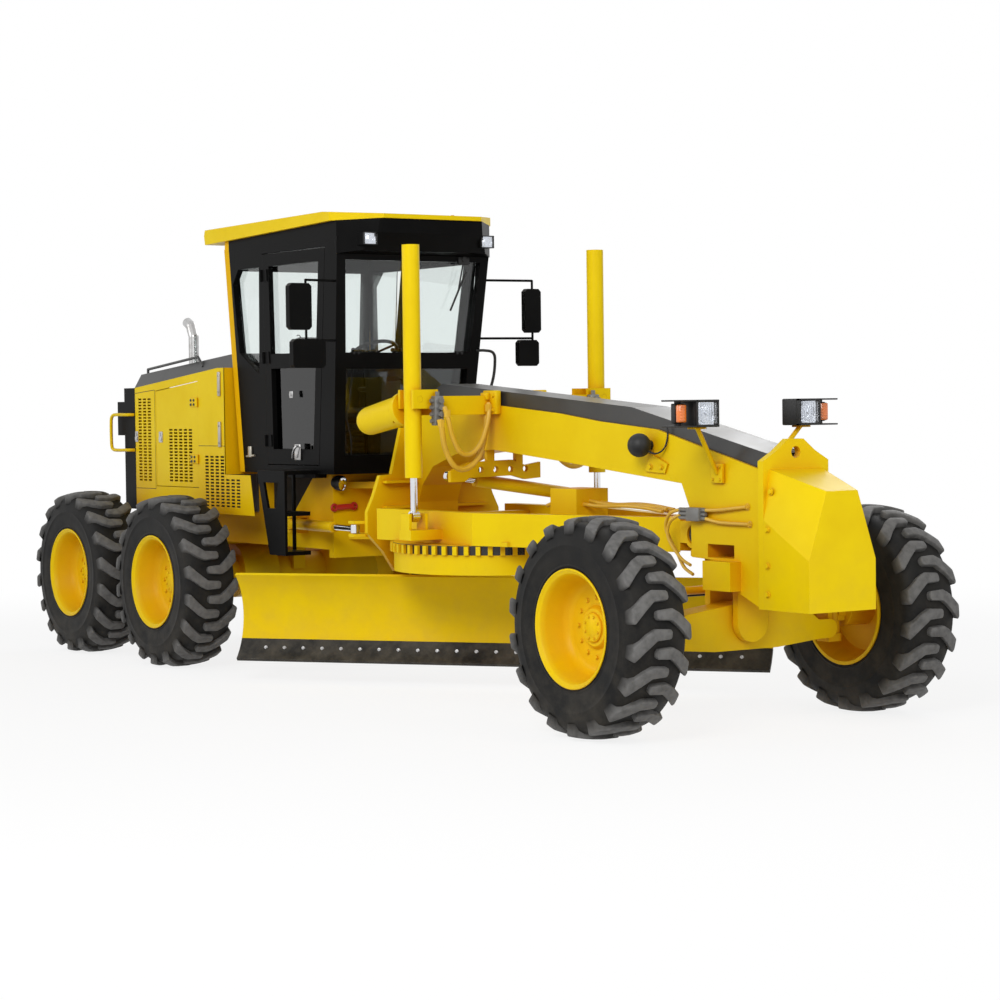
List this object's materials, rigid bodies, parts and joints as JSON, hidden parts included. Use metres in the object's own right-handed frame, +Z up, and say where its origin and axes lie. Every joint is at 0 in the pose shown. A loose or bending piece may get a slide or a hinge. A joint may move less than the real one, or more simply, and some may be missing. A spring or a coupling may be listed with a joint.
{
  "type": "motor grader",
  "caption": "Articulated motor grader with a tandem rear axle, cab, arched front frame, and a curved blade hung from a toothed circle.",
  "frame": {"origin": "on the ground under the middle of the machine's length and width", "axes": "+X points forward, +Y to the machine's left, +Z up"},
  "size_m": [8.714, 2.56, 3.425],
  "materials": {
    "yellow_paint": "satin",
    "grey_paint": "satin",
    "black_paint": "satin",
    "black_plastic": "matte",
    "bright_steel": "satin",
    "worn_steel": "worn",
    "dark_iron": "matte",
    "chrome": "polished",
    "glass": "gloss",
    "tyre": "matte"
  },
  "bodies": {
    "chassis": {"rear_frame": "yellow_paint", "rear_axle": "yellow_paint", "engine": "dark_iron", "hood": "yellow_paint", "hood_top": "grey_paint", "rear_guard": "black_paint", "exhaust": "bright_steel", "cab_frame": "black_paint", "cab_roof": "yellow_paint", "windscreen": "glass", "rear_glass": "glass", "cab_interior": "black_plastic"},
    "front_body": {"front_frame": "yellow_paint", "beam_cover": "grey_paint", "front_weight": "yellow_paint", "front_axle": "yellow_paint", "headlamp_right": "black_plastic", "headlamp_left": "black_plastic"},
    "cab_door_right": {"cab_door_right": "black_paint", "door_glass_right": "glass"},
    "cab_door_left": {"cab_door_left": "black_paint", "door_glass_left": "glass"},
    "engine_door_right": {"engine_door_right": "yellow_paint"},
    "engine_door_left": {"engine_door_left": "yellow_paint"},
    "knuckle_right": {"knuckle_right": "yellow_paint"},
    "knuckle_left": {"knuckle_left": "yellow_paint"},
    "spindle_right": {"spindle_right": "yellow_paint"},
    "spindle_left": {"spindle_left": "yellow_paint"},
    "tie_rod": {"tie_rod": "black_paint"},
    "lean_bar": {"lean_bar": "yellow_paint"},
    "lift_barrel_right": {"lift_barrel_right": "yellow_paint"},
    "lift_barrel_left": {"lift_barrel_left": "yellow_paint"},
    "lift_rod_right": {"lift_rod_right": "chrome"},
    "lift_rod_left": {"lift_rod_left": "chrome"},
    "shift_barrel": {"shift_barrel": "yellow_paint"},
    "shift_rod": {"shift_rod": "chrome"},
    "artic_barrel_right": {"artic_barrel_right": "yellow_paint"},
    "artic_barrel_left": {"artic_barrel_left": "yellow_paint"},
    "artic_rod_right": {"artic_rod_right": "chrome"},
    "artic_rod_left": {"artic_rod_left": "chrome"},
    "drawbar_ball": {"drawbar_ball": "dark_iron"},
    "drawbar": {"drawbar": "yellow_paint"},
    "circle": {"circle": "yellow_paint"},
    "tilt_frame": {"tilt_frame": "yellow_paint"},
    "tilt_rod": {"tilt_rod": "chrome"},
    "moldboard": {"moldboard": "yellow_paint", "cutting_edge": "worn_steel"},
    "wheel_front_right": {"rim_front_right": "yellow_paint", "tyre_front_right": "tyre"},
    "wheel_front_left": {"rim_front_left": "yellow_paint", "tyre_front_left": "tyre"},
    "wheel_middle_right": {"rim_middle_right": "yellow_paint", "tyre_middle_right": "tyre"},
    "wheel_middle_left": {"rim_middle_left": "yellow_paint", "tyre_middle_left": "tyre"},
    "wheel_rear_right": {"rim_rear_right": "yellow_paint", "tyre_rear_right": "tyre"},
    "wheel_rear_left": {"rim_rear_left": "yellow_paint", "tyre_rear_left": "tyre"}
  },
  "joints": [
    {"name": "articulate", "type": "hinge", "parent": "chassis", "child": "front_body", "pos_m": [-0.573, 0, 1.2], "axis": [0, 0, 1], "range_deg": [-25, 25]},
    {"name": "lean", "type": "hinge", "parent": "front_body", "child": "knuckle_right", "pos_m": [3.377, -0.68, 0.56], "axis": [-1, 0, 0], "range_deg": [-17, 17]},
    {"name": "lean_left", "type": "hinge", "parent": "front_body", "child": "knuckle_left", "pos_m": [3.377, 0.68, 0.56], "axis": [-1, 0, 0], "range_deg": [-17.01, 17.01]},
    {"name": "lean_bar_slide", "type": "slide", "parent": "front_body", "child": "lean_bar", "axis": [0, 1, 0], "range_m": [-0.0803, 0.0803]},
    {"name": "steer", "type": "hinge", "parent": "knuckle_right", "child": "spindle_right", "pos_m": [3.377, -0.785, 0.665], "axis": [0, 0, -1], "range_deg": [-40, 40]},
    {"name": "steer_left", "type": "hinge", "parent": "knuckle_left", "child": "spindle_left", "pos_m": [3.377, 0.785, 0.665], "axis": [0, 0, -1], "range_deg": [-40.01, 40.01]},
    {"name": "tie_rod_slide", "type": "slide", "parent": "front_body", "child": "tie_rod", "axis": [0, 1, 0], "range_m": [-0.194, 0.194]},
    {"name": "wheel_front_right_spin", "type": "hinge", "parent": "spindle_right", "child": "wheel_front_right", "pos_m": [3.377, -1.065, 0.665], "axis": [0, 1, 0], "continuous": true},
    {"name": "wheel_front_left_spin", "type": "hinge", "parent": "spindle_left", "child": "wheel_front_left", "pos_m": [3.377, 1.065, 0.665], "axis": [0, 1, 0], "continuous": true},
    {"name": "wheel_middle_right_spin", "type": "hinge", "parent": "chassis", "child": "wheel_middle_right", "pos_m": [-2.154, -1.065, 0.665], "axis": [0, 1, 0], "continuous": true},
    {"name": "wheel_middle_left_spin", "type": "hinge", "parent": "chassis", "child": "wheel_middle_left", "pos_m": [-2.154, 1.065, 0.665], "axis": [0, 1, 0], "continuous": true},
    {"name": "wheel_rear_right_spin", "type": "hinge", "parent": "chassis", "child": "wheel_rear_right", "pos_m": [-3.692, -1.065, 0.665], "axis": [0, 1, 0], "continuous": true},
    {"name": "wheel_rear_left_spin", "type": "hinge", "parent": "chassis", "child": "wheel_rear_left", "pos_m": [-3.692, 1.065, 0.665], "axis": [0, 1, 0], "continuous": true},
    {"name": "drawbar_shift", "type": "hinge", "parent": "front_body", "child": "drawbar_ball", "pos_m": [3.047, 0, 1.165], "axis": [0, 0, 1], "range_deg": [-9, 2.3]},
    {"name": "drawbar_lift", "type": "hinge", "parent": "drawbar_ball", "child": "drawbar", "pos_m": [3.047, 0, 1.165], "axis": [0, 1, 0], "range_deg": [-11, 4.5]},
    {"name": "circle_turn", "type": "hinge", "parent": "drawbar", "child": "circle", "pos_m": [0.827, 0, 1], "axis": [0, 0, 1], "continuous": true},
    {"name": "blade_tip", "type": "hinge", "parent": "circle", "child": "tilt_frame", "pos_m": [0.64646, 0.23959, 0.33], "axis": [0.7986, 0.6018, 0], "range_deg": [-5, 25]},
    {"name": "blade_shift", "type": "slide", "parent": "tilt_frame", "child": "moldboard", "axis": [-0.7986, -0.6018, 0], "range_m": [-0.5, 0.5]},
    {"name": "tip_rod_slide", "type": "slide", "parent": "circle", "child": "tilt_rod", "axis": [0.5615, -0.7451, -0.36], "range_m": [-0.0341, 0.1702]},
    {"name": "lift_barrel_right_swing", "type": "hinge", "parent": "front_body", "child": "lift_barrel_right", "pos_m": [0.877, -0.775, 2.04], "axis": [1, 0, 0], "range_deg": [-6.5, 25.3]},
    {"name": "lift_rod_right_slide", "type": "slide", "parent": "lift_barrel_right", "child": "lift_rod_right", "axis": [0, 0, 1], "range_m": [-0.417, 0.1708]},
    {"name": "lift_barrel_left_swing", "type": "hinge", "parent": "front_body", "child": "lift_barrel_left", "pos_m": [0.877, 0.775, 2.04], "axis": [1, 0, 0], "range_deg": [-6.5, 25.3]},
    {"name": "lift_rod_left_slide", "type": "slide", "parent": "lift_barrel_left", "child": "lift_rod_left", "axis": [0, 0, 1], "range_m": [-0.417, 0.1708]},
    {"name": "shift_barrel_swing", "type": "hinge", "parent": "drawbar", "child": "shift_barrel", "pos_m": [0.737, 0.64, 1.35], "axis": [1, 0, 0], "range_deg": [-22.6, 9.3]},
    {"name": "shift_rod_slide", "type": "slide", "parent": "shift_barrel", "child": "shift_rod", "axis": [0, -0.9892, 0.1465], "range_m": [-0.0919, 0.3585]},
    {"name": "artic_barrel_right_swing", "type": "hinge", "parent": "chassis", "child": "artic_barrel_right", "pos_m": [-1.25, -0.525, 1.115], "axis": [0, 0, 1], "range_deg": [-10.02, 10.02]},
    {"name": "artic_rod_right_slide", "type": "slide", "parent": "artic_barrel_right", "child": "artic_rod_right", "axis": [0.9968, -0.0798, 0], "range_m": [-0.251, 0.251]},
    {"name": "artic_barrel_left_swing", "type": "hinge", "parent": "chassis", "child": "artic_barrel_left", "pos_m": [-1.25, 0.525, 1.115], "axis": [0, 0, 1], "range_deg": [-10.02, 10.02]},
    {"name": "artic_rod_left_slide", "type": "slide", "parent": "artic_barrel_left", "child": "artic_rod_left", "axis": [0.9968, 0.0798, 0], "range_m": [-0.251, 0.251]},
    {"name": "cab_door_right_open", "type": "hinge", "parent": "chassis", "child": "cab_door_right", "pos_m": [-1.50987, -0.60106, 1.56], "axis": [-0.0521, 0.0451, -0.9976], "range_deg": [0, 95]},
    {"name": "cab_door_left_open", "type": "hinge", "parent": "chassis", "child": "cab_door_left", "pos_m": [-1.50987, 0.60106, 1.56], "axis": [0.0521, 0.0451, 0.9976], "range_deg": [0, 95]},
    {"name": "engine_door_right_open", "type": "hinge", "parent": "chassis", "child": "engine_door_right", "pos_m": [-2.453, -0.7043, 1.367], "axis": [0, 0, 1], "range_deg": [0, 95]},
    {"name": "engine_door_left_open", "type": "hinge", "parent": "chassis", "child": "engine_door_left", "pos_m": [-2.453, 0.7043, 1.367], "axis": [0, 0, -1], "range_deg": [0, 95]}
  ],
  "couplings": [
    {"joint": "lean_left", "follows": "lean", "ratio": 1},
    {"joint": "lean_bar_slide", "follows": "lean", "m_per_rad": 0.27},
    {"joint": "steer_left", "follows": "steer", "ratio": 1},
    {"joint": "tie_rod_slide", "follows": "steer", "m_per_rad": 0.276},
    {"joint": "tip_rod_slide", "follows": "blade_tip", "m_per_rad": 0.39},
    {"joint": "lift_barrel_right_swing", "follows": "drawbar_shift", "ratio": -2.8},
    {"joint": "lift_rod_right_slide", "follows": "drawbar_lift", "m_per_rad": 2.17},
    {"joint": "lift_barrel_left_swing", "follows": "drawbar_shift", "ratio": -2.8},
    {"joint": "lift_rod_left_slide", "follows": "drawbar_lift", "m_per_rad": 2.17},
    {"joint": "shift_barrel_swing", "follows": "drawbar_lift", "ratio": 2.05},
    {"joint": "shift_rod_slide", "follows": "drawbar_shift", "m_per_rad": -2.28},
    {"joint": "artic_barrel_right_swing", "follows": "articulate", "ratio": 0.4},
    {"joint": "artic_rod_right_slide", "follows": "articulate", "m_per_rad": 0.575},
    {"joint": "artic_barrel_left_swing", "follows": "articulate", "ratio": 0.4},
    {"joint": "artic_rod_left_slide", "follows": "articulate", "m_per_rad": -0.575}
  ]
}
